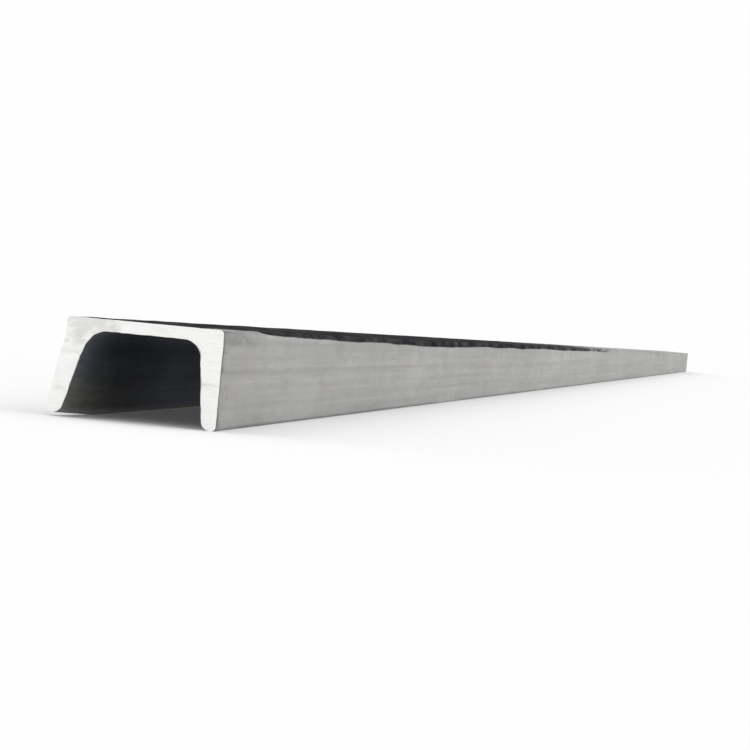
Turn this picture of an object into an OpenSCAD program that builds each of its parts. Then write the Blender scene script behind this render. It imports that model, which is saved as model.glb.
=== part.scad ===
// Hot-rolled channel with tapered flanges, cut square to a stock length.
// The bar lies along Y with its web on top and rests on the toes of its two flanges.
// At the near end the cut has bent the left flange outward, about a slanting fold.
// Origin: middle of the rolled section's footprint, half-way along, at the level of the toes.

/* [Stock] */
// Length of the bar between its two cut ends
bar_length = 6000; // [500:100:12000]

/* [Section] */
// Height of the section, over the backs of the two flanges
section_height = 63; // [50:1:120]
// Width of a flange, from the back of the web to the toe
flange_width = 40; // [25:1:60]
// Thickness of the web
web_thickness = 4.8; // [3:0.1:8]
// Thickness of a flange half-way between its toe and the web
flange_thickness = 7.5; // [5:0.1:12]
// Taper of a flange's inner face, in millimetres of thickness for each millimetre of width
flange_taper = 0.1; // [0:0.01:0.14]

/* [Rounding] */
// Radius of the fillet between web and flange
root_radius = 7.5; // [2:0.1:12]
// Radius of a toe's inner corner
toe_inner_radius = 3.8; // [1:0.1:6]
// Radius of a toe's outer corner, rounded by the rolls
toe_outer_radius = 1.8; // [0.3:0.1:3]
// Radius of the outer corner between web and flange
heel_radius = 1.8; // [0.3:0.1:4]

/* [Splayed end] */
// Angle by which the left flange leans outward at the near end
splay_angle = 9.5; // [1:0.5:15]
// Length of bar over which that lean dies away, along the toe
splay_length = 60; // [20:5:200]

/* [Hidden] */

// Largest shares of the toe's thickness that its two corner radii may take
toe_inner_share = 2 / 3;
toe_outer_share = 0.32;
// Each arc runs this far past the two flats it joins, so that it crosses them and doesn't only touch
arc_overrun = 0.001;
// A spandrel reaches past its sharp corner by this share of its radius
corner_reach = 0.1;
arc_sides = 96;
// At the end the fold starts this far below the web's inner face
fold_drop = 2.5;
// The bent flange reaches this far past the fold, into the straight bar
fold_overlap = 1.5;
// The blocks that part and trim the bent flange clear it by this much
room = 3;
steel_colour = [0.66, 0.66, 0.65];

// Places are measured sideways from the middle of the web, and up from the toes.
flange_back = section_height / 2;
web_inside = flange_width - web_thickness;
toe_thickness = flange_thickness - flange_taper * web_inside / 2;
toe_inner = min(toe_inner_radius, toe_inner_share * toe_thickness);
toe_outer = min(toe_outer_radius, toe_outer_share * toe_thickness);

// Sharp corners of one flange
heel_corner = [flange_back, flange_width];
toe_outer_corner = [flange_back, 0];
toe_inner_corner = [flange_back - toe_thickness, 0];
root_corner = toe_inner_corner + web_inside * [-flange_taper, 1];

// Directions along the flats that meet at those corners
inward = [-1, 0];
outward = [1, 0];
up = [0, 1];
down = [0, -1];
up_face = [-flange_taper, 1] / norm([-flange_taper, 1]);

side_outline = [heel_corner, toe_outer_corner, toe_inner_corner, root_corner];

function mirrored(points) = [for (i = [len(points) - 1 : -1 : 0]) [-points[i][0], points[i][1]]];

// What lies between a sharp corner and the arc that rounds it. The two flats leave the corner
// along the unit directions side_a and side_b.
module spandrel(corner, side_a, side_b, radius) {
    half_angle = acos(side_a * side_b) / 2;
    middle = (side_a + side_b) / norm(side_a + side_b);
    touch = radius / tan(half_angle);
    difference() {
        polygon([corner + touch * side_a, corner - corner_reach * radius * middle, corner + touch * side_b]);
        translate(corner + radius / sin(half_angle) * middle)
            circle(r = radius + arc_overrun, $fn = arc_sides);
    }
}

module both_flanges() {
    children();
    mirror([1, 0])
        children();
}

// Cross-section, drawn with X across the web and Y up from the toes
module section() {
    difference() {
        union() {
            polygon(concat(side_outline, mirrored(side_outline)));
            both_flanges()
                spandrel(root_corner, inward, -up_face, root_radius);
        }
        both_flanges() {
            spandrel(heel_corner, inward, down, heel_radius);
            spandrel(toe_outer_corner, inward, up, toe_outer);
            spandrel(toe_inner_corner, outward, up_face, toe_inner);
        }
    }
}

// The rolled bar, run on past its near end by this much
module rolled_bar(run_on) {
    translate([0, bar_length / 2, 0])
        rotate([90, 0, 0])
            linear_extrude(height = bar_length + run_on)
                section();
}

// The fold slants down the left flange from the near end to the toe, and the flange turns about it
// in the plane where its inner face meets the web.
near_end = -bar_length / 2;
fold_top = web_inside - fold_drop;
fold_dip = atan2(fold_top, splay_length);
fold_turn = asin(tan(splay_angle) / cos(fold_dip));
fold_origin = [-root_corner[0], near_end, fold_top];

// All of the left flange below the fold, and on past the fold by this much
module below_fold(past) {
    outside = flange_back - root_corner[0] + room;
    translate(fold_origin)
        rotate([-fold_dip, 0, 0])
            translate([-outside, -room, -fold_top - room])
                cube([outside + root_radius, splay_length + fold_top, fold_top + room + past]);
}

module bend_outward() {
    translate(fold_origin)
        rotate([-fold_dip, 0, 0])
            rotate([0, fold_turn, 0])
                rotate([fold_dip, 0, 0])
                    translate(-fold_origin)
                        children();
}

module bent_flange() {
    intersection() {
        bend_outward()
            intersection() {
                rolled_bar(room);
                below_fold(fold_overlap);
            }
        translate([-flange_back - fold_top, near_end, -room])
            cube([flange_back + fold_top, splay_length + fold_top, flange_width + room]);
    }
}

module channel() {
    color(steel_colour) {
        difference() {
            rolled_bar(0);
            below_fold(0);
        }
        bent_flange();
    }
}

channel();
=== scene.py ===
"""A length of hot-rolled stainless channel, lying web up on a pale floor.

The bar runs along Y, its section lies across X, and it stands on the toes of its flanges at Z = 0.
The near end, at the lowest Y, was cut roughly: its left flange is bent outward there.
Every size is in metres.
"""

import math
from types import SimpleNamespace

import bpy
from mathutils import Matrix, Vector, kdtree


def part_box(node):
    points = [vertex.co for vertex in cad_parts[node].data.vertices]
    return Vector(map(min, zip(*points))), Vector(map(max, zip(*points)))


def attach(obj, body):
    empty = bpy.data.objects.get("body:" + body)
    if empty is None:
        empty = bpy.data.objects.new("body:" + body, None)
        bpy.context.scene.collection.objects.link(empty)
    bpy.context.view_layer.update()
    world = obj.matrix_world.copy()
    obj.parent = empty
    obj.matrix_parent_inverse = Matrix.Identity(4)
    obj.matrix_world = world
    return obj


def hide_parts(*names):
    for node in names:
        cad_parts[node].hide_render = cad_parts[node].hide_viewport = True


bl_info = {
    "name": "Rolled Channel",
    "version": (1, 0, 0),
    "blender": (4, 5, 0),
    "location": "View3D > Sidebar > Channel",
    "description": "Models a length of rolled channel with one splayed end, and its studio",
    "category": "Object",
}

NODE = "channel"

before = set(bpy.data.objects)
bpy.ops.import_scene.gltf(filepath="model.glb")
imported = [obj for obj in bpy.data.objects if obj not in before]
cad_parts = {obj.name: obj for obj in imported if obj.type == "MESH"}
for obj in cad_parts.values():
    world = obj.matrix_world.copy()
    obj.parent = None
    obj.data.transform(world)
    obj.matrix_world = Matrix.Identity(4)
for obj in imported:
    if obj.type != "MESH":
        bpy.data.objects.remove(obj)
_, cad_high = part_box(NODE)
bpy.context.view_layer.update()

# The right flange is straight, so the right side of the box is its back. The rolled section is
# symmetric about X = 0, and its web's back is the top of the box.
END = cad_high[1]
FLANGE_BACK = cad_high[0]
FLANGE_WIDTH = cad_high[2]

# Places closer than this are the same place, and vertices closer than the second are one
NEAR = 1e-5
DOUBLE = 1e-6

# A face looks along an axis when its normal's part along it is more than this
FACING = 0.5

# Stretches of the bar at each end: distance from the end where one starts and where it stops, and
# the rings of vertices between the two
END_ZONES = (
    (0.000, 0.003, 7),
    (0.003, 0.020, 16),
    (0.020, 0.070, 24),
    (0.070, 0.200, 18),
    (0.200, 0.700, 14),
)

# Rings between the last stretch of one end and that of the other
MIDDLE_RINGS = 70


# ---------------------------------------------------------------------------
# Sizes and colours that a user would change
# ---------------------------------------------------------------------------


def length(name, description, default):
    return bpy.props.FloatProperty(
        name=name, description=description, default=default, unit="LENGTH", precision=4
    )


def colour(name, description, default):
    return bpy.props.FloatVectorProperty(
        name=name,
        description=description,
        default=default,
        subtype="COLOR",
        size=3,
        min=0.0,
        max=1.0,
    )


class ChannelSection(bpy.types.PropertyGroup):
    """Sizes of the rolled section"""

    web: length("Web", "Thickness of the web", 0.0048)
    flange: length("Flange", "Thickness of a flange half-way between its toe and the web", 0.0075)
    taper: bpy.props.FloatProperty(
        name="Taper", description="Slope of a flange's inner face", default=0.1, precision=3
    )
    root: length("Root Fillet", "Radius between web and flange", 0.0075)
    toe_inner: length("Toe, Inner", "Radius of a toe's inner corner", 0.0038)
    toe_outer: length("Toe, Outer", "Radius of a toe's outer corner", 0.0018)
    heel: length("Heel", "Radius of the outer corner between web and flange", 0.0018)


class ChannelEnds(bpy.types.PropertyGroup):
    """How the cuts have left the bar's ends"""

    splay: bpy.props.FloatProperty(
        name="Splay",
        description="Angle by which the left flange leans outward at the near end",
        default=math.radians(9.5),
        subtype="ANGLE",
    )
    splay_length: length("Splay Length", "Length of bar over which that lean dies away", 0.06)
    rollover: length("Rollover", "Width of the rounding round each cut", 0.0003)
    ragged: length("Ragged Edge", "How far the inner outline of a cut wanders", 0.00018)
    uneven: length("Uneven Faces", "How far the rolled faces wander from flat", 0.00008)


class ChannelFinish(bpy.types.PropertyGroup):
    """Colours of the steel"""

    skin: colour("Rolled Skin", "Outer faces, pickled grey", (0.396, 0.394, 0.389))
    warm: colour("Warm Blotches", "Faint brownish patches on the skin", (0.378, 0.350, 0.314))
    rubbed: colour("Rubbed Edges", "Corners rubbed bright in handling", (0.430, 0.426, 0.418))
    # Painted light: the inner faces are paler and bluer than the skin, lifting the shade between the
    # flanges with a painted bluish sky reflection
    inside: colour("Inner Faces", "Faces between the flanges", (0.500, 0.520, 0.575))
    # Painted shade: the inner faces near each cut are dark, bluish high up and olive near the toes
    dust: colour("Inner Shade", "Painted shade on the inner faces near each cut", (0.115, 0.125, 0.145))
    low_dust: colour("Inner Shade, Low", "The same near the toes", (0.170, 0.170, 0.150))
    # Painted shade: a dark band on the web's back and heels, standing in for the dark grazing
    # reflection along the top
    scale: colour("Painted Back Shade", "Left on the web's back and heels", (0.030, 0.030, 0.032))
    burnt: colour("Cut Margin", "Dark line and specks beside each cut", (0.130, 0.127, 0.122))
    cut: colour("Cut Ends", "Bright metal of the cuts", (0.935, 0.930, 0.915))
    smudge: colour("Smudge", "Greyer patch on the near cut", (0.690, 0.685, 0.660))


class StudioSettings(bpy.types.PropertyGroup):
    """Floor, light and camera"""

    paper: colour("Floor", "Colour of the floor", (0.945,) * 3)
    glow: bpy.props.FloatProperty(
        name="Floor Glow", description="Faint light of the floor's own, under the bar", default=0.045
    )
    sky: bpy.props.FloatProperty(
        name="Sky", description="Strength of the even light from all round", default=1.0
    )
    lens: bpy.props.FloatProperty(
        name="Lens", description="Focal length of the camera", default=161.0, unit="CAMERA"
    )
    roll: bpy.props.FloatProperty(
        name="Roll",
        description="Tilt of the camera about its own axis",
        default=math.radians(5.4),
        subtype="ANGLE",
    )


# ---------------------------------------------------------------------------
# Modelling by hand: selecting by place, then cutting, extruding and moving
# ---------------------------------------------------------------------------


def start_block(name, low, high):
    """Adds a block that fills the box from low to high. Its map comes later, from unroll."""
    bpy.ops.object.select_all(action="DESELECT")
    middle = [(a + b) / 2 for a, b in zip(low, high)]
    bpy.ops.mesh.primitive_cube_add(size=1, location=middle, calc_uvs=False)
    block = bpy.context.object
    block.name = block.data.name = name
    block.scale = [b - a for a, b in zip(low, high)]
    bpy.ops.object.transform_apply(location=True, rotation=True, scale=True)
    return block


def pick(block, kind, test):
    """Selects the vertices, edges or faces of a block that pass a test, and counts them."""
    bpy.ops.object.mode_set(mode="EDIT")
    bpy.ops.mesh.select_mode(type=kind)
    bpy.ops.mesh.select_all(action="DESELECT")
    bpy.ops.object.mode_set(mode="OBJECT")
    mesh = block.data
    found = 0
    for item in {"VERT": mesh.vertices, "EDGE": mesh.edges, "FACE": mesh.polygons}[kind]:
        if test(item):
            item.select = True
            found += 1
    bpy.ops.object.mode_set(mode="EDIT")
    return found


def edge_ends(block, edge):
    """Places of an edge's two vertices."""
    return [block.data.vertices[i].co for i in edge.vertices]


def cut(block, co, normal):
    """Cuts through the whole block with a plane."""
    bpy.ops.object.mode_set(mode="EDIT")
    bpy.ops.mesh.select_all(action="SELECT")
    bpy.ops.mesh.bisect(plane_co=co, plane_no=normal)


def round_edge(block, x, z, radius, half_angle, segments):
    """Rounds the lengthwise edge at one place of the section with an arc of the given radius."""

    def at_corner(edge):
        return all(abs(co.x - x) < NEAR and abs(co.z - z) < NEAR for co in edge_ends(block, edge))

    pick(block, "EDGE", at_corner)
    bpy.ops.mesh.bevel(
        offset_type="OFFSET",
        offset=radius / math.tan(half_angle),
        segments=segments,
        profile=0.5,
        affect="EDGES",
        clamp_overlap=False,
    )


def divide(block, test, cuts):
    """Divides the edges that pass a test into equal lengths."""
    if pick(block, "EDGE", test):
        bpy.ops.mesh.subdivide(number_cuts=cuts, quadcorner="INNERVERT")


def smooth(value):
    """Rises smoothly from 0 to 1 as the value does."""
    value = min(1.0, max(0.0, value))
    return value * value * (3 - 2 * value)


# ---------------------------------------------------------------------------
# The bar
# ---------------------------------------------------------------------------


def corners_of(section):
    """Heights and half-widths of the section's sharp corners, before they are rounded."""
    web_inside = FLANGE_WIDTH - section.web
    toe_inside = FLANGE_BACK - section.flange + section.taper * web_inside / 2
    return web_inside, toe_inside, toe_inside - section.taper * web_inside


def half_section_block(section):
    """The right half of the bar, open at its two ends and in its middle, with sharp corners."""
    web_inside, toe_inside, root_inside = corners_of(section)
    bar = start_block("channel_steel", (0, -END, web_inside), (FLANGE_BACK, END, FLANGE_WIDTH))
    cut(bar, (root_inside, 0, 0), (1, 0, 0))
    pick(bar, "FACE", lambda face: face.normal.z < -FACING and face.center.x > root_inside)
    bpy.ops.mesh.extrude_region_move(TRANSFORM_OT_translate={"value": (0, 0, -web_inside)})
    pick(bar, "VERT", lambda v: abs(v.co.x - root_inside) < NEAR and abs(v.co.z) < NEAR)
    bpy.ops.transform.translate(value=(toe_inside - root_inside, 0, 0))
    pick(bar, "FACE", lambda face: abs(face.normal.y) > FACING or abs(face.center.x) < NEAR)
    bpy.ops.mesh.delete(type="FACE")
    return bar


def round_corners(bar, section):
    """Rounds the four corners of the half section. A corner on a tapered face is not square."""
    web_inside, toe_inside, root_inside = corners_of(section)
    square = math.pi / 4
    leaning = (math.pi / 2 + math.atan(section.taper)) / 2
    # Faces round each arc, more for the large ones
    for_root = 12
    for_toe = 10
    for_outer = 6
    round_edge(bar, root_inside, web_inside, section.root, leaning, for_root)
    round_edge(bar, toe_inside, 0, section.toe_inner, leaning, for_toe)
    round_edge(bar, FLANGE_BACK, 0, section.toe_outer, square, for_outer)
    round_edge(bar, FLANGE_BACK, FLANGE_WIDTH, section.heel, square, for_outer)


def divide_across(bar):
    """Divides the flats across the section into strips, so that they can carry a slight wave."""
    # No strip is wider than this
    strip = 0.0025
    most_strips = math.ceil(FLANGE_WIDTH / strip)

    def wider_than(strips):
        def test(edge):
            a, b = edge_ends(bar, edge)
            return abs(a.y - b.y) < NEAR and strips < (a - b).length / strip <= strips + 1

        return test

    for strips in range(most_strips, 0, -1):
        divide(bar, wider_than(strips), strips)


def divide_along(bar):
    """Puts rings round the bar, close together near its ends."""
    for side in (-1, 1):
        for _, far, _ in END_ZONES:
            cut(bar, (0, side * (END - far), 0), (0, 1, 0))
    bpy.ops.object.mode_set(mode="OBJECT")

    def spans(low, high):
        def test(edge):
            start, end = sorted(co.y for co in edge_ends(bar, edge))
            return abs(start - low) < NEAR and abs(end - high) < NEAR

        return test

    for near, far, rings in END_ZONES:
        divide(bar, spans(near - END, far - END), rings)
        divide(bar, spans(END - far, END - near), rings)
    middle = END - END_ZONES[-1][1]
    divide(bar, spans(-middle, middle), MIDDLE_RINGS)
    bpy.ops.object.mode_set(mode="OBJECT")


def mirror_half(bar):
    """Adds the left half, joined to the right one along the middle of the web."""
    mirror = bar.modifiers.new("Left Half", "MIRROR")
    mirror.use_axis = (True, False, False)
    mirror.use_mirror_merge = True
    mirror.merge_threshold = NEAR
    bpy.ops.object.modifier_apply(modifier=mirror.name)


def close_end(bar, y):
    """Closes one end with a band of faces between the outer outline and the inner one."""

    def on_outline(edge):
        a, b = edge_ends(bar, edge)
        at_end = abs(a.y - y) < NEAR and abs(b.y - y) < NEAR
        across_toe = abs(a.z) < NEAR and abs(b.z) < NEAR
        return at_end and not across_toe

    rows_between = 4
    pick(bar, "EDGE", on_outline)
    bpy.ops.mesh.bridge_edge_loops(type="PAIRS", number_cuts=rows_between, interpolation="LINEAR")


def round_cut_edges(bar, width):
    """Rounds the outline of both cuts, where the tool has turned the edge over."""
    faces_at = {}
    for face in bar.data.polygons:
        for key in face.edge_keys:
            faces_at.setdefault(key, []).append(abs(face.normal.y) > FACING)

    def at_cut(edge):
        return sorted(faces_at[edge.key]) == [False, True]

    pick(bar, "EDGE", at_cut)
    bpy.ops.mesh.bevel(offset=width, segments=3, profile=0.5, affect="EDGES", clamp_overlap=True)


def tidy_mesh(bar):
    """Merges vertices that lie on each other, and turns every face outwards."""
    bpy.ops.object.mode_set(mode="EDIT")
    bpy.ops.mesh.select_all(action="SELECT")
    bpy.ops.mesh.remove_doubles(threshold=DOUBLE)
    bpy.ops.mesh.normals_make_consistent(inside=False)
    bpy.ops.object.mode_set(mode="OBJECT")


def on_cut(face):
    """Whether a face belongs to one of the bar's cut ends, most of the rounding round it included."""
    least = 0.3
    return abs(face.normal.y) > least


# ---------------------------------------------------------------------------
# What cutting and rolling have done to the shape
# ---------------------------------------------------------------------------


def shift(bar, name, direction, distance):
    """Moves each vertex along one direction by a distance of one sign, a function of its place."""
    far = max((distance(vertex.co) for vertex in bar.data.vertices), key=abs)
    group = bar.vertex_groups.new(name=name)
    for vertex in bar.data.vertices:
        share = distance(vertex.co) / far
        if share > 0:
            group.add([vertex.index], share, "REPLACE")
    modifier = bar.modifiers.new(name, "DISPLACE")
    modifier.vertex_group = group.name
    modifier.direction = direction
    modifier.strength = far
    modifier.mid_level = 0.0
    return modifier


def wander(bar, name, distance, cell):
    """Moves the surface in and out at random, up to about a distance, in cells of one size."""
    # A cloud texture keeps mostly within this distance of its middle value
    swing = 0.15
    texture = bpy.data.textures.new(name, "CLOUDS")
    texture.noise_scale = cell
    texture.noise_depth = 2
    modifier = shift(bar, name, "NORMAL", lambda co: distance(co) / swing)
    modifier.texture = texture
    modifier.texture_coords = "LOCAL"
    modifier.mid_level = 0.5


def splay_flange(bar, section, ends):
    """Turns the left flange outward at the near end, about the line where it meets the web."""
    web_inside, _, root_inside = corners_of(section)
    # Within this height below the web the flange bends, and below that it only turns
    bend = 0.010
    # Power by which the lean dies away along the bar: above 1, faster than evenly at first
    fall = 1.2

    def moved(co):
        way = 1 - (co.y + END) / ends.splay_length
        if co.x > 0 or way <= 0:
            return Vector((0, 0))
        angle = ends.splay * way**fall * smooth((web_inside - co.z) / bend)
        arm = Vector((co.x + root_inside, co.z - web_inside))
        turned = Matrix.Rotation(-angle, 2) @ arm
        return turned - arm

    shift(bar, "Splay Out", "X", lambda co: min(0.0, moved(co).x))
    shift(bar, "Splay Up", "Z", lambda co: max(0.0, moved(co).y))


def roughen(bar, ends):
    """Makes the outline of each cut wander, and the rolled faces a little uneven."""
    # The toes stand on the floor: they stay flat up to a height, and wander fully this far above it
    foot = 0.0012
    rise = 0.004
    # Depth below the backs of the flanges and of the web from which an outline counts as the inner one
    flange_depth = 0.003
    web_depth = 0.002
    # The outer outline wanders by this share of what the inner one does
    outer_share = 0.3
    # Distance from a cut over which its wander dies away, and over which that of the faces grows in
    cut_reach = 0.004
    calm_reach = 0.02

    def off_floor(co):
        return smooth((co.z - foot) / rise)

    def at_cut(co):
        inner = abs(co.x) < FLANGE_BACK - flange_depth and co.z < FLANGE_WIDTH - web_depth
        share = 1.0 if inner else outer_share
        return share * ends.ragged * off_floor(co) * smooth(1 - (END - abs(co.y)) / cut_reach)

    def along(co):
        return ends.uneven * off_floor(co) * smooth((END - abs(co.y)) / calm_reach)

    wander(bar, "Ragged Cut", at_cut, cell=0.005)
    wander(bar, "Uneven Faces", along, cell=0.035)


def apply_modifiers(bar):
    """Makes the shape that the modifiers give the bar's own."""
    for modifier in list(bar.modifiers):
        bpy.ops.object.modifier_apply(modifier=modifier.name)


# ---------------------------------------------------------------------------
# Maps: which finish lies where, and the unrolled surface
# ---------------------------------------------------------------------------


def mark(bar, name, value):
    """Stores a number from 0 to 1 at each face corner, worked out from its place and its face."""
    layer = bar.data.attributes.new(name, "FLOAT", "CORNER")
    vertices = bar.data.vertices
    for face in bar.data.polygons:
        for corner, vertex in zip(face.loop_indices, face.vertices):
            layer.data[corner].value = value(vertices[vertex].co, face)


def mark_surfaces(bar, section):
    """Marks the cuts, the faces between the flanges and the rounded corners, which are rubbed and get
    painted shade.
    """
    web_inside, _, _ = corners_of(section)
    # A place this far above the web's inner face isn't between the flanges
    slack = 0.0004
    # How much a normal must look inwards for the mark to start, and how much more for all of it
    starts = 0.2
    grows = 0.5
    # The mark starts this far above the floor and is whole this much higher
    toe = 0.0008
    toe_rise = 0.003
    # Product of a normal's two parts from which a corner counts in full. Half-way round it is 0.5.
    slant = 0.4

    def is_cut(co, face):
        return 1.0 if on_cut(face) else 0.0

    def is_inside(co, face):
        facing_in = face.normal.x * (-1 if co.x > 0 else 1)
        facing = max(-face.normal.z, facing_in)
        if on_cut(face) or co.z > web_inside + slack:
            return 0.0
        return smooth((facing - starts) / grows) * smooth((co.z - toe) / toe_rise)

    def is_corner(co, face):
        slanting = abs(face.normal.x * face.normal.z)
        outer = co.z > web_inside or abs(co.x) > FLANGE_BACK - section.toe_outer
        return smooth(slanting / slant) if outer and not on_cut(face) else 0.0

    mark(bar, "cut", is_cut)
    mark(bar, "inside", is_inside)
    mark(bar, "corner", is_corner)


def ring_distances(bar, y):
    """Finder of a place's distance round the right half of the section, from the web's back."""
    ring = {v.index: v.co for v in bar.data.vertices if abs(v.co.y - y) < NEAR and v.co.x > -NEAR}
    beside = {index: [] for index in ring}
    for a, b in bar.data.edge_keys:
        if a in ring and b in ring:
            beside[a].append(b)
            beside[b].append(a)
    at = max(ring, key=lambda index: ring[index].z - ring[index].x)
    distance = 0.0
    seen = {at}
    walk = [(at, distance)]
    while ahead := [index for index in beside[at] if index not in seen]:
        distance += (ring[ahead[0]] - ring[at]).length
        at = ahead[0]
        seen.add(at)
        walk.append((at, distance))
    tree = kdtree.KDTree(len(walk))
    for number, (index, _) in enumerate(walk):
        tree.insert((ring[index].x, 0, ring[index].z), number)
    tree.balance()

    def distance_round(co):
        return walk[tree.find((abs(co.x), 0, co.z))[1]][1]

    return distance_round, distance


def unroll(bar):
    """Lays the surface out flat: a band for each half of the length, and a strip for the cuts."""
    # Widths on the map: the gap round each part, a band, and the strip for the cuts
    margin = 0.008
    band = 0.40
    strip = 0.15
    # The part of a band that its first stretch from the end takes, and that stretch's length
    end_share = 0.16
    end_stretch = 0.06
    distance_round, half_way = ring_distances(bar, END - END_ZONES[0][1])
    layer = bar.data.uv_layers.new(name="OFBake")
    vertices = bar.data.vertices

    def along(co):
        from_end = END - abs(co.y)
        if from_end < end_stretch:
            return end_share * from_end / end_stretch
        return end_share + (1 - end_share) * (from_end - end_stretch) / (END - end_stretch)

    def on_band(co, face):
        way = distance_round(co) / half_way / 2
        way = way if face.center.x > 0 else 1 - way
        start = margin if face.center.y < 0 else 2 * margin + band
        return start + band * way, margin + (1 - 2 * margin) * along(co)

    def on_strip(co, face):
        start = margin if face.center.y < 0 else 0.5 + margin
        across = start + (0.5 - 2 * margin) * (co.x / FLANGE_BACK + 1) / 2
        return 3 * margin + 2 * band + strip * co.z / FLANGE_WIDTH, across

    for face in bar.data.polygons:
        place = on_strip if on_cut(face) else on_band
        for corner, vertex in zip(face.loop_indices, face.vertices):
            layer.data[corner].uv = place(vertices[vertex].co, face)


# ---------------------------------------------------------------------------
# Finishes
# ---------------------------------------------------------------------------


class Nodes:
    """Adds nodes to a tree and joins them. Each input takes another node's output or a value."""

    def __init__(self, tree):
        self.tree = tree

    def add(self, kind, inputs=(), **settings):
        node = self.tree.nodes.new("ShaderNode" + kind)
        for name, value in settings.items():
            setattr(node, name, value)
        for name, value in dict(inputs).items():
            self.feed(node.inputs[name], value)
        return node

    def feed(self, socket, value):
        if isinstance(value, bpy.types.NodeSocket):
            self.tree.links.new(value, socket)
        else:
            socket.default_value = value

    def maths(self, operation, a, b=0.0):
        return self.add("Math", {0: a, 1: b}, operation=operation).outputs[0]

    def ramp(self, value, low, high, at_low=0.0, at_high=1.0):
        """Goes smoothly from one number to another as the value goes from low to high."""
        node = self.add(
            "MapRange",
            {"Value": value, "From Min": low, "From Max": high, "To Min": at_low, "To Max": at_high},
            interpolation_type="SMOOTHSTEP",
        )
        return node.outputs["Result"]

    def blend(self, factor, a, b):
        """Mixes two colours. A plain colour is given as its three parts."""
        a, b = (x if isinstance(x, bpy.types.NodeSocket) else (*x, 1) for x in (a, b))
        node = self.add("Mix", {"Factor": factor}, data_type="RGBA")
        self.feed(node.inputs[6], a)
        self.feed(node.inputs[7], b)
        return node.outputs[2]

    def between(self, factor, a, b):
        """Mixes two numbers."""
        return self.add("Mix", {0: factor, 2: a, 3: b}, data_type="FLOAT").outputs[0]

    def dim(self, tone, colour):
        """Multiplies a colour by a number."""
        return self.add("VectorMath", {0: colour, "Scale": tone}, operation="SCALE").outputs[0]

    def noise(self, vector, cells, detail=3.0, roughness=0.5, distortion=0.0, start=(0, 0, 0)):
        """Noise with its own number of cells a metre along each axis."""
        place = self.add("Mapping", {"Vector": vector, "Location": start, "Scale": cells})
        node = self.add(
            "TexNoise",
            {
                "Vector": place.outputs["Vector"],
                "Scale": 1.0,
                "Detail": detail,
                "Roughness": roughness,
                "Distortion": distortion,
            },
        )
        return node.outputs["Fac"]

    def placed(self, tree, inputs):
        """Places a node group, with its own values."""
        node = self.add("Group", node_tree=tree)
        for name, value in inputs.items():
            self.feed(node.inputs[name], value)
        return node


FLOAT, VECTOR = "NodeSocketFloat", "NodeSocketVector"


def new_group(name, inputs, outputs):
    """An empty shader node group: its nodes, what comes in, and a place for each output."""
    tree = bpy.data.node_groups.new(name, "ShaderNodeTree")
    for label, (kind, default) in inputs.items():
        socket = tree.interface.new_socket(name=label, in_out="INPUT", socket_type=kind)
        if default is not None:
            socket.default_value = default
    for label in outputs:
        tree.interface.new_socket(name=label, in_out="OUTPUT", socket_type=FLOAT)
    came_in = tree.nodes.new("NodeGroupInput").outputs
    goes_out = tree.nodes.new("NodeGroupOutput").inputs
    return tree, Nodes(tree), came_in, goes_out


def wandering_tone(nodes, swings):
    """Product of numbers that each wander about 1: a list of noises and how far each swings."""
    tone = None
    for value, swing in swings:
        off = nodes.maths("MULTIPLY", nodes.maths("SUBTRACT", value, 0.5), swing)
        factor = nodes.maths("ADD", 1.0, off)
        tone = factor if tone is None else nodes.maths("MULTIPLY", tone, factor)
    return tone


def rolled_skin():
    """Hot-rolled and pickled steel: streaks that the rolls drew out along Y, blotches and grain."""
    tree, nodes, came_in, goes_out = new_group(
        "rolled_skin",
        {"Vector": (VECTOR, None), "Streaks": (FLOAT, 1.0), "Blotches": (FLOAT, 1.0)},
        ("Tone", "Warmth", "Roughness", "Height"),
    )
    vector = came_in["Vector"]
    bands = nodes.noise(vector, (230, 0.9, 230), detail=4.0, roughness=0.6)
    streaks = nodes.noise(vector, (560, 7.0, 560), detail=4.0, roughness=0.65)
    blotches = nodes.noise(vector, (100, 26.0, 115), detail=5.0, roughness=0.65, distortion=0.8)
    drifts = nodes.noise(vector, (14, 3.0, 14), detail=2.0, start=(3.1, 0.7, 5.3))
    grain = nodes.noise(vector, (1300, 700, 1300), detail=3.0, roughness=0.7)
    drawn, mottled = came_in["Streaks"], came_in["Blotches"]
    tone = wandering_tone(
        nodes,
        [
            (bands, nodes.maths("MULTIPLY", drawn, 0.55)),
            (streaks, nodes.maths("MULTIPLY", drawn, 0.50)),
            (blotches, nodes.maths("MULTIPLY", mottled, 0.78)),
            (drifts, nodes.maths("MULTIPLY", mottled, 0.44)),
            (grain, 0.16),
        ],
    )
    nodes.feed(goes_out["Tone"], tone)
    stains = nodes.noise(vector, (42, 16.0, 42), detail=4.0, roughness=0.6, start=(7.7, 2.9, 1.3))
    nodes.feed(goes_out["Warmth"], nodes.ramp(stains, 0.46, 0.74))
    rough = nodes.ramp(blotches, 0.25, 0.75, 0.50, 0.64)
    rough = nodes.maths("ADD", rough, nodes.ramp(streaks, 0.2, 0.8, -0.05, 0.05))
    nodes.feed(goes_out["Roughness"], rough)
    height = nodes.maths("ADD", nodes.maths("MULTIPLY", streaks, 0.5), bands)
    height = nodes.maths("ADD", height, nodes.maths("MULTIPLY", grain, 0.5))
    nodes.feed(goes_out["Height"], height)
    return tree


def specks():
    """Small dark spots, as many as the amount says."""
    tree, nodes, came_in, goes_out = new_group(
        "specks", {"Vector": (VECTOR, None), "Amount": (FLOAT, 0.1)}, ("Mask",)
    )
    spots = nodes.noise(came_in["Vector"], (520, 330, 520), detail=2.0, roughness=0.6)
    edge = nodes.maths("SUBTRACT", 0.80, nodes.maths("MULTIPLY", came_in["Amount"], 0.32))
    over = nodes.maths("SUBTRACT", spots, edge)
    nodes.feed(goes_out["Mask"], nodes.ramp(over, 0.0, 0.05))
    return tree


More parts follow.
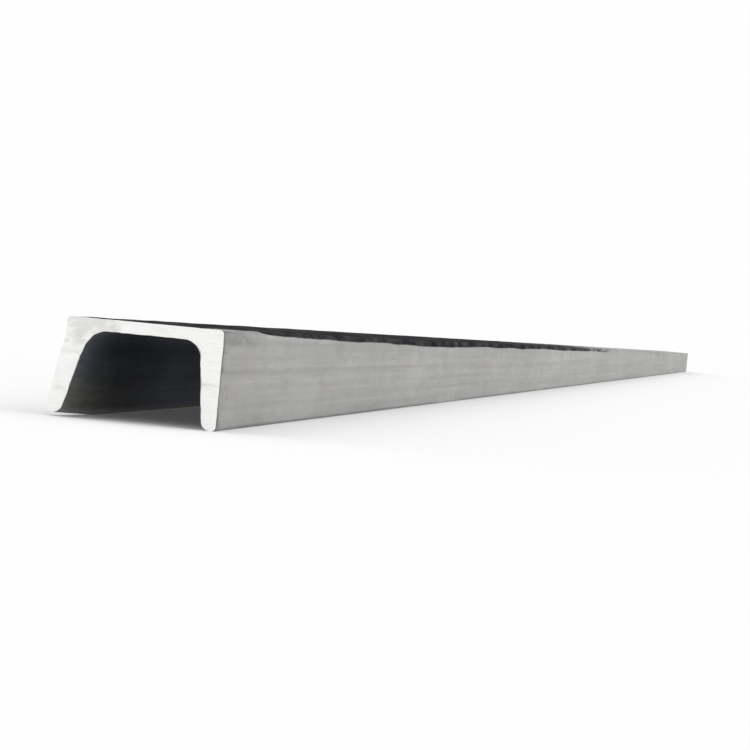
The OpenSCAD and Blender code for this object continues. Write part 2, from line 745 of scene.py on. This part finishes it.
def cut_metal():
    """A cut face: fine lines across it, broad and faint, over soft grey patches."""
    tree, nodes, came_in, goes_out = new_group(
        "cut_metal", {"Vector": (VECTOR, None)}, ("Tone", "Roughness", "Height")
    )
    vector = came_in["Vector"]
    lines = nodes.noise(vector, (45, 300, 1150), detail=3.0, roughness=0.55, distortion=0.15)
    scores = nodes.noise(vector, (28, 120, 480), detail=2.0, start=(0.4, 0, 2.0))
    patches = nodes.noise(vector, (120, 120, 190), detail=4.0, roughness=0.6, distortion=0.7)
    grain = nodes.noise(vector, (2400, 2400, 2400), detail=1.0)
    tone = wandering_tone(nodes, [(lines, 0.16), (grain, 0.05)])
    tone = nodes.maths("MULTIPLY", tone, nodes.ramp(scores, 0.62, 0.80, 1.0, 0.90))
    tone = nodes.maths("MULTIPLY", tone, nodes.ramp(patches, 0.52, 0.80, 1.0, 0.88))
    nodes.feed(goes_out["Tone"], tone)
    nodes.feed(goes_out["Roughness"], nodes.ramp(patches, 0.3, 0.8, 0.46, 0.62))
    nodes.feed(goes_out["Height"], nodes.maths("ADD", lines, nodes.maths("MULTIPLY", grain, 0.4)))
    return tree


def bar_places(nodes):
    """Where a point lies on the bar, and how far it belongs to each marked surface."""
    place = nodes.add("TexCoord").outputs["Object"]
    across, along, height = nodes.add("SeparateXYZ", {0: place}).outputs

    def mask(name):
        return nodes.add("Attribute", attribute_name=name).outputs["Fac"]

    return SimpleNamespace(
        place=place,
        across=across,
        height=height,
        from_near=nodes.maths("ADD", along, END),
        from_end=nodes.maths("SUBTRACT", END, nodes.maths("ABSOLUTE", along)),
        cut=mask("cut"),
        inside=mask("inside"),
        corner=mask("corner"),
    )


def grime_tone(nodes, at):
    """How far painted shade dims the outer faces, close under the heels near each cut."""
    thickest = 0.66
    smears = nodes.noise(at.place, (190, 45.0, 240), detail=4.0, roughness=0.6, start=(1.9, 4.4, 0.6))
    under_heel = nodes.ramp(at.height, 0.026, 0.039)
    by_cut = nodes.ramp(at.from_end, 0.03, 0.13, 1.0, 0.0)
    grime = nodes.maths("MULTIPLY", nodes.maths("MULTIPLY", under_heel, by_cut), 0.9)
    grime = nodes.maths("MULTIPLY", grime, nodes.ramp(smears, 0.30, 0.60, 0.30, 1.0))
    return nodes.ramp(grime, 0.0, 1.0, 1.0, thickest)


def outer_faces(nodes, at, finish, warmth):
    """Colour of the outer faces, with warm stains, painted shade on their rounded corners and under
    the heels near each cut, and where their corners are rubbed bright.
    """
    strongest_stain = 0.75
    # Painted shade: the rounded outer corners are dimmed to this share, to hold down the sky's
    # reflection on them
    soiled_corner = 0.82
    stain = nodes.maths("MULTIPLY", warmth, strongest_stain)
    stained = nodes.blend(stain, finish.skin, finish.warm)
    soiled = nodes.dim(nodes.ramp(at.corner, 0.0, 1.0, 1.0, soiled_corner), stained)
    rubs = nodes.ramp(nodes.noise(at.place, (90, 5.0, 90), detail=4.0), 0.50, 0.68)
    rubbed = nodes.maths("MULTIPLY", at.corner, rubs)
    outer = nodes.blend(rubbed, soiled, finish.rubbed)
    return nodes.dim(grime_tone(nodes, at), outer), rubbed


def inner_faces(nodes, at, finish):
    """Colour of the faces between the flanges, which is painted light deeper in, and where painted
    shade darkens them near each cut.
    """
    lower = nodes.ramp(at.height, 0.006, 0.022, 1.0, 0.0)
    dusty = nodes.blend(lower, finish.dust, finish.low_dust)
    clean = nodes.ramp(at.from_end, 0.02, 0.22)
    dusted = nodes.maths("MULTIPLY", at.inside, nodes.maths("SUBTRACT", 1.0, clean))
    return nodes.blend(clean, dusty, finish.inside), dusted


def within_heel(nodes, at, side, edge, bare):
    """Fades the painted shade of the web's back out at its edge beside one heel, or further in where a
    width is left unshaded.
    """
    # Distance in from the heel, counted as less than nothing down the flange
    below_back = nodes.maths("SUBTRACT", FLANGE_WIDTH, at.height)
    from_heel = nodes.maths("SUBTRACT", FLANGE_BACK, nodes.maths("MULTIPLY", at.across, side))
    from_heel = nodes.maths("SUBTRACT", from_heel, below_back)
    past = nodes.maths("SUBTRACT", from_heel, nodes.maths("ADD", edge, bare))
    # The fade is never narrower than this, and it is wider where a width is left unshaded
    least_fade = 0.0008
    fade = nodes.maths("ADD", nodes.maths("MULTIPLY", bare, 0.5), least_fade)
    return nodes.ramp(nodes.maths("DIVIDE", past, fade), 0.0, 1.0)


def scale_cover(nodes, at):
    """Where painted shade darkens the web's back and a little way over its heels: it stands in for the
    dark grazing reflection along the top.

    It is thick towards the near end, thinner and patchy further on, broken along the bar, and left out
    beside the near right corner.
    """
    patches = nodes.noise(at.place, (48, 2.2, 48), detail=7.0, roughness=0.70, distortion=0.5)
    thick = nodes.ramp(at.from_near, 0.6, 4.6, 0.44, -0.22)
    cover = nodes.ramp(nodes.maths("ADD", patches, thick), 0.42, 0.72)
    scuffs = nodes.noise(at.place, (210, 7.0, 210), detail=5.0, roughness=0.7, start=(5.5, 0.2, 2.4))
    kept = nodes.ramp(scuffs, 0.62, 0.80, 1.0, 0.35)

    # Its edge lies a few millimetres down the flanges, and less far down towards the near end
    fringe = nodes.noise(at.place, (60, 3.0, 60), detail=3.0, roughness=0.55, start=(2.2, 8.1, 0.5))
    edge = nodes.ramp(fringe, 0.35, 0.65, -0.0042, -0.0029)
    edge = nodes.maths("MULTIPLY", edge, nodes.ramp(at.from_near, -0.1, 0.45))

    # Width left unshaded beside the near right corner, and its uneven outline
    torn = nodes.maths("ADD", nodes.maths("MULTIPLY", fringe, 1.6), scuffs)
    bare_corner = nodes.ramp(at.from_near, 0.0, 0.12, 0.012, 0.0)
    bare_corner = nodes.maths("MULTIPLY", bare_corner, nodes.ramp(torn, 0.95, 1.65, 0.15, 1.9))
    for side, bare in ((-1, 0.0), (1, bare_corner)):
        cover = nodes.maths("MULTIPLY", cover, within_heel(nodes, at, side, edge, bare))
    scale = nodes.maths("MULTIPLY", cover, kept)
    return nodes.maths("MULTIPLY", scale, nodes.maths("SUBTRACT", 1.0, at.inside))


def scale_colour(nodes, at, finish):
    """Colour of the painted shade on the web's back, in dark and paler patches, paler further from the
    near end.
    """
    flakes = nodes.noise(at.place, (130, 26.0, 130), detail=5.0, roughness=0.65, start=(0.9, 6.1, 3.3))
    pale = nodes.ramp(at.from_near, 1.2, 3.6, 1.0, 2.4)
    pale = nodes.maths("MULTIPLY", pale, nodes.ramp(flakes, 0.34, 0.70, 0.7, 2.4))
    return nodes.dim(pale, finish.scale)


def beside_cuts(nodes, at):
    """An uneven dark line beside each cut, and specks that thin out along the bar."""
    fray = nodes.noise(at.place, (150, 150, 150), detail=3.0, roughness=0.55)
    reach = nodes.ramp(fray, 0.35, 0.65, 0.0035, 0.0110)
    margin = nodes.ramp(nodes.maths("DIVIDE", at.from_end, reach), 0.0, 1.2, 1.0, 0.0)
    amount = nodes.ramp(at.from_end, 0.0, 0.10, 0.52, 0.10)
    spots = nodes.placed(specks(), {"Vector": at.place, "Amount": amount}).outputs["Mask"]
    soiled = nodes.maths("MAXIMUM", margin, nodes.maths("MULTIPLY", spots, 0.6))
    return nodes.maths("MULTIPLY", soiled, nodes.maths("SUBTRACT", 1.0, at.inside))


def cut_ends(nodes, at, finish, tone):
    """Colour of the cuts, with a smudge on the near one, by the left heel."""
    by_heel = (-0.022, -END, 0.040)
    smudge = nodes.add("VectorMath", {0: at.place, 1: by_heel}, operation="DISTANCE")
    blur = nodes.noise(at.place, (210, 210, 320), detail=3.0, roughness=0.6)
    far = nodes.maths("ADD", smudge.outputs["Value"], nodes.ramp(blur, 0.3, 0.7, -0.006, 0.006))
    smudged = nodes.ramp(far, 0.003, 0.017, 0.7, 0.0)
    return nodes.dim(tone, nodes.blend(smudged, finish.cut, finish.smudge))


def steel_material(finish):
    """Pickled skin, with painted shade near the cuts and painted light deeper in between the flanges,
    a dark band of painted shade on the web's back, and bright at the cuts.
    """
    material = bpy.data.materials.new("pickled_stainless_skin")
    material.use_nodes = True
    nodes = Nodes(material.node_tree)
    shader = material.node_tree.nodes["Principled BSDF"].inputs
    at = bar_places(nodes)
    skin = nodes.placed(rolled_skin(), {"Vector": at.place}).outputs
    metal = nodes.placed(cut_metal(), {"Vector": at.place}).outputs
    # Painted shade: a dark band on the web's back, standing in for its dark grazing reflection
    scale = scale_cover(nodes, at)

    outer, rubbed = outer_faces(nodes, at, finish, skin["Warmth"])
    inner, dusted = inner_faces(nodes, at, finish)
    body = nodes.dim(skin["Tone"], nodes.blend(at.inside, outer, inner))
    # A darker line beside each cut, with specks
    body = nodes.blend(beside_cuts(nodes, at), body, finish.burnt)
    body = nodes.blend(scale, body, nodes.dim(skin["Tone"], scale_colour(nodes, at, finish)))
    bright = cut_ends(nodes, at, finish, metal["Tone"])
    nodes.feed(shader["Base Color"], nodes.blend(at.cut, body, bright))

    # Rubbed corners are smoother than the skin, and the painted dark band on the web's back is rougher
    of_rubs = 0.38
    of_scale = 0.78
    rough = nodes.between(rubbed, skin["Roughness"], of_rubs)
    rough = nodes.between(scale, rough, of_scale)
    nodes.feed(shader["Roughness"], nodes.between(at.cut, rough, metal["Roughness"]))

    # The painted dark band on the web's back hides the metal, and the painted shade between the
    # flanges most of it
    of_bare_steel = 0.9
    dull = nodes.maths("MAXIMUM", scale, nodes.maths("MULTIPLY", dusted, 0.8))
    nodes.feed(shader["Metallic"], nodes.ramp(dull, 0.0, 1.0, of_bare_steel, 0.0))
    shader["Specular IOR Level"].default_value = 0.0

    relief = nodes.between(at.cut, skin["Height"], metal["Height"])
    bump = nodes.add("Bump", {"Strength": 0.6, "Distance": 0.0001, "Height": relief})
    nodes.feed(shader["Normal"], bump.outputs["Normal"])
    return material


class OBJECT_OT_add_channel(bpy.types.Operator):
    """Model the bar: section, rings along it, the two cut ends and the splayed flange"""

    bl_idname = "object.add_rolled_channel"
    bl_label = "Rolled Channel"

    def execute(self, context):
        scene = context.scene
        section, ends = scene.channel_section, scene.channel_ends
        bar = half_section_block(section)
        round_corners(bar, section)
        divide_across(bar)
        divide_along(bar)
        mirror_half(bar)
        for y in (-END, END):
            close_end(bar, y)
        tidy_mesh(bar)
        round_cut_edges(bar, ends.rollover)
        tidy_mesh(bar)
        unroll(bar)
        mark_surfaces(bar, section)
        splay_flange(bar, section, ends)
        roughen(bar, ends)
        apply_modifiers(bar)
        # An edge sharper than this stays a crease
        crease = math.radians(20)
        bpy.ops.object.shade_smooth_by_angle(angle=crease)
        bar.data.materials.append(steel_material(scene.channel_finish))
        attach(bar, "root")
        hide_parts(NODE)
        return {"FINISHED"}


# ---------------------------------------------------------------------------
# Studio
# ---------------------------------------------------------------------------


def plain_floor(colour, glow):
    """Lays a floor far wider than the camera sees, with a faint light of its own."""
    side = 120
    bpy.ops.object.select_all(action="DESELECT")
    bpy.ops.mesh.primitive_plane_add(size=side, location=(0, 0, 0))
    floor = bpy.context.object
    floor.name = floor.data.name = "floor"
    paper = bpy.data.materials.new("pale_floor")
    paper.use_nodes = True
    shader = paper.node_tree.nodes["Principled BSDF"].inputs
    shader["Base Color"].default_value = (*colour, 1)
    shader["Roughness"].default_value = 1.0
    shader["Specular IOR Level"].default_value = 0.0
    shader["Emission Color"].default_value = (1, 1, 1, 1)
    shader["Emission Strength"].default_value = glow
    floor.data.materials.append(paper)


def even_sky(strength, backdrop):
    """Lights the scene evenly. Behind it the camera and the steel see one plain tone."""
    world = bpy.data.worlds.new("even_sky")
    world.use_nodes = True
    nodes = Nodes(world.node_tree)
    light = world.node_tree.nodes["Background"]
    light.inputs["Color"].default_value = (1, 1, 1, 1)
    light.inputs["Strength"].default_value = strength
    seen = nodes.add("Background", {"Color": (*backdrop, 1), "Strength": 1.0})
    ray = nodes.add("LightPath").outputs
    straight = nodes.maths("MAXIMUM", ray["Is Camera Ray"], ray["Is Glossy Ray"])
    straight = nodes.maths("MAXIMUM", straight, ray["Is Transmission Ray"])
    mixed = nodes.add("MixShader", {0: straight})
    nodes.feed(mixed.inputs[1], light.outputs[0])
    nodes.feed(mixed.inputs[2], seen.outputs[0])
    nodes.feed(world.node_tree.nodes["World Output"].inputs["Surface"], mixed.outputs[0])
    bpy.context.scene.world = world


def camera_at(place, direction, lens, roll):
    """Places the scene's camera, with the middle of its view along one direction."""
    data = bpy.data.cameras.new("camera")
    data.lens = lens
    data.sensor_width = 36
    data.clip_start = 0.05
    data.clip_end = 200
    camera = bpy.data.objects.new("camera", data)
    bpy.context.scene.collection.objects.link(camera)
    look = Vector(direction).to_track_quat("-Z", "Y").to_matrix().to_4x4()
    camera.matrix_world = Matrix.Translation(place) @ look @ Matrix.Rotation(roll, 4, "Z")
    bpy.context.scene.camera = camera


class SCENE_OT_set_studio(bpy.types.Operator):
    """Lay the floor, light it evenly and place the camera"""

    bl_idname = "scene.set_channel_studio"
    bl_label = "Studio"

    def execute(self, context):
        studio = context.scene.channel_studio
        plain_floor(studio.paper, studio.glow)
        # Behind the bar stands the tone that the floor has in the open
        even_sky(studio.sky, [part * studio.sky + studio.glow for part in studio.paper])
        # In front of the near end and to its right, just above the web, looking along the bar
        in_front = 1.30
        to_the_right = 0.252
        above_floor = 0.050
        place = (to_the_right, -END - in_front, above_floor)
        heading = math.radians(7.0)
        dip = math.radians(0.95)
        direction = (-math.sin(heading), math.cos(heading), -math.tan(dip))
        camera_at(place, direction, studio.lens, studio.roll)
        context.scene.view_settings.view_transform = "Standard"
        return {"FINISHED"}


class VIEW3D_PT_channel(bpy.types.Panel):
    """Lists the bar's sizes and finishes, and the steps that make it"""

    bl_idname = "VIEW3D_PT_rolled_channel"
    bl_label = "Rolled Channel"
    bl_space_type = "VIEW_3D"
    bl_region_type = "UI"
    bl_category = "Channel"

    def draw(self, context):
        for name, group in GROUPS.items():
            box = self.layout.box()
            for prop in group.__annotations__:
                box.prop(getattr(context.scene, name), prop)
        for operator in OPERATORS:
            self.layout.operator(operator.bl_idname)


GROUPS = {
    "channel_section": ChannelSection,
    "channel_ends": ChannelEnds,
    "channel_finish": ChannelFinish,
    "channel_studio": StudioSettings,
}
OPERATORS = (OBJECT_OT_add_channel, SCENE_OT_set_studio)


def register():
    for name, group in GROUPS.items():
        bpy.utils.register_class(group)
        setattr(bpy.types.Scene, name, bpy.props.PointerProperty(type=group))
    for cls in (*OPERATORS, VIEW3D_PT_channel):
        bpy.utils.register_class(cls)


def unregister():
    for cls in (VIEW3D_PT_channel, *OPERATORS):
        bpy.utils.unregister_class(cls)
    for name, group in GROUPS.items():
        delattr(bpy.types.Scene, name)
        bpy.utils.unregister_class(group)


def main():
    register()
    bpy.ops.object.add_rolled_channel()
    bpy.ops.scene.set_channel_studio()


if __name__ == "__main__":
    main()
